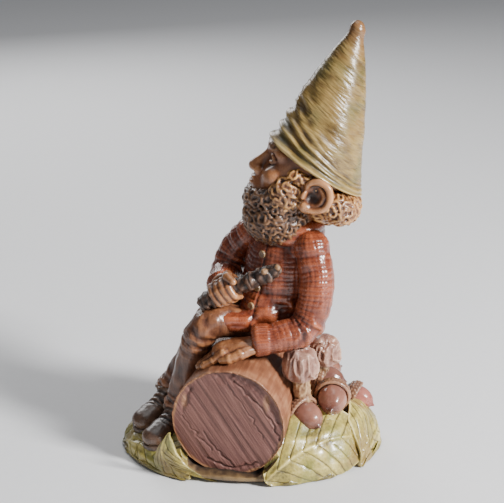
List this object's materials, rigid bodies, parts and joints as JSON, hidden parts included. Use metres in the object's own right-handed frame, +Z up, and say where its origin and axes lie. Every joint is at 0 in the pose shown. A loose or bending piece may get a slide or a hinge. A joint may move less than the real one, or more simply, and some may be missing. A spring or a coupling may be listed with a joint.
{
  "type": "gnome figurine",
  "caption": "Bearded gnome figurine in a tall pointed hat, seated on a sawn log over a mound of leaves, acorns and mushrooms.",
  "frame": {"origin": "middle of the footprint's bounding box, on the surface the figurine stands on", "axes": "+Z up; the gnome's face, knees and boots point to -Y; the sawn end of the log and his left arm are on +X"},
  "size_m": [0.0946, 0.129, 0.2104],
  "materials": {
    "felt": "thin glued felt",
    "sawn_wood": "cast resin, sawn end stained mauve brown, side stained tan",
    "leaf_green": "satin cast resin stained olive over brown",
    "soil_brown": "matt cast resin stained dark brown",
    "nut_brown": "satin cast resin stained mauve brown",
    "nut_cap": "cast resin stained tan, scaled",
    "mushroom": "satin cast resin stained mauve brown",
    "mushroom_stem": "matt cast resin stained tan",
    "boot_brown": "satin cast resin stained dark brown",
    "trouser_brown": "satin cast resin stained warm brown",
    "coat_rust": "satin cast resin stained rust red",
    "skin_tan": "satin cast resin stained warm tan",
    "hair_brown": "cast resin, golden brown over dark recesses",
    "hat_olive": "satin cast resin stained olive",
    "stick_brown": "satin cast resin stained dark brown"
  },
  "bodies": {
    "root": {"acorn_cap_fallen": "nut_cap", "acorn_cap_front": "nut_cap", "acorn_cap_middle": "nut_cap", "acorn_cap_rear": "nut_cap", "acorn_cap_upper": "nut_cap", "acorn_nut_fallen": "nut_brown", "acorn_nut_front": "nut_brown", "acorn_nut_middle": "nut_brown", "acorn_nut_rear": "nut_brown", "acorn_nut_upper": "nut_brown", "beard": "hair_brown", "boot_left": "boot_brown", "boot_right": "boot_brown", "boot_sole_left": "boot_brown", "boot_sole_right": "boot_brown", "ear_left": "skin_tan", "ear_right": "skin_tan", "eyebrow_left": "hair_brown", "eyebrow_right": "hair_brown", "felt_pad": "felt", "hair": "hair_brown", "hand_left": "skin_tan", "hand_right": "skin_tan", "hat": "hat_olive", "head": "skin_tan", "leaf_back": "leaf_green", "leaf_back_left": "leaf_green", "leaf_back_right": "leaf_green", "leaf_beside_log": "leaf_green", "leaf_front_left": "leaf_green", "leaf_front_right": "leaf_green", "leaf_left": "leaf_green", "leaf_right": "leaf_green", "log": "sawn_wood", "mound": "soil_brown", "mushroom_cap_front": "mushroom", "mushroom_cap_rear": "mushroom", "mushroom_stem_front": "mushroom_stem", "mushroom_stem_rear": "mushroom_stem", "sideburn_left": "hair_brown", "sideburn_right": "hair_brown", "sleeve_left": "coat_rust", "sleeve_right": "coat_rust", "stick": "stick_brown", "torso": "coat_rust", "trouser_leg_left": "trouser_brown", "trouser_leg_right": "trouser_brown"}
  },
  "joints": []
}
